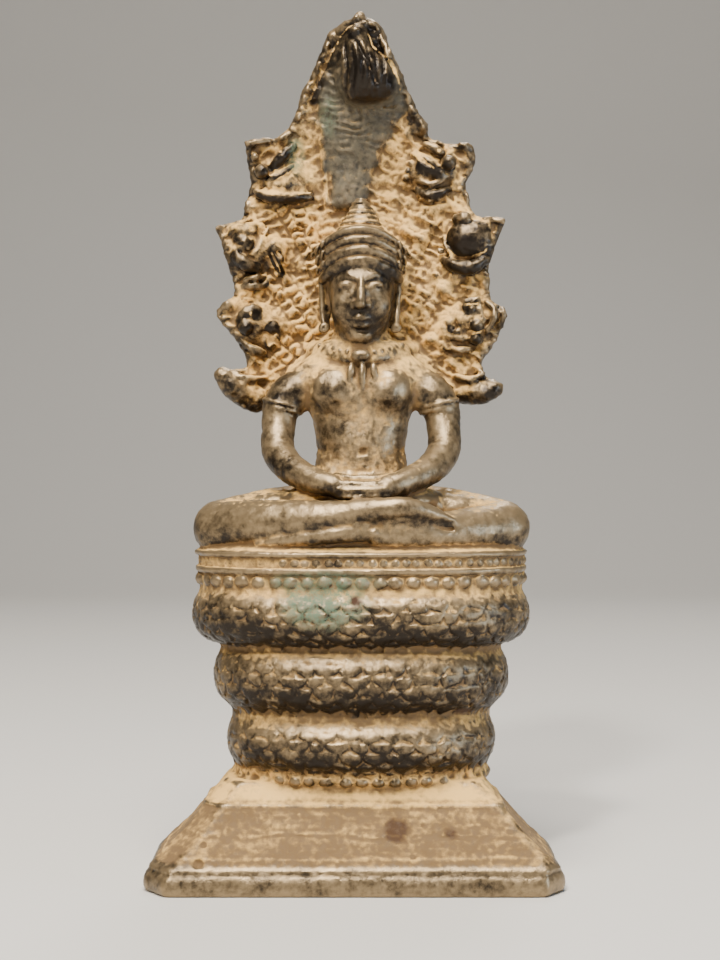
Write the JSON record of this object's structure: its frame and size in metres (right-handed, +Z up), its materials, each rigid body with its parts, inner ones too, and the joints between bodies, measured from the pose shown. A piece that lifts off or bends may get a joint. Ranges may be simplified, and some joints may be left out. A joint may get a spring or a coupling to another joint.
{
  "type": "bronze buddha statuette",
  "caption": "Small cast bronze of a crowned Buddha meditating on a serpent's coils under its many-headed hood, on a flared plinth.",
  "frame": {"origin": "middle of the bounding box's bottom face, on the surface that the plinth stands on", "axes": "+Z up, -Y to the front where the figure faces, +X to the viewer's right"},
  "size_m": [0.084, 0.054, 0.18],
  "materials": {
    "bronze": "aged cast bronze: dark and burnished on the high places, ochre dust in the hollows, a little green and rust"
  },
  "bodies": {
    "root": {"naga_buddha_statue": "bronze"}
  },
  "joints": []
}
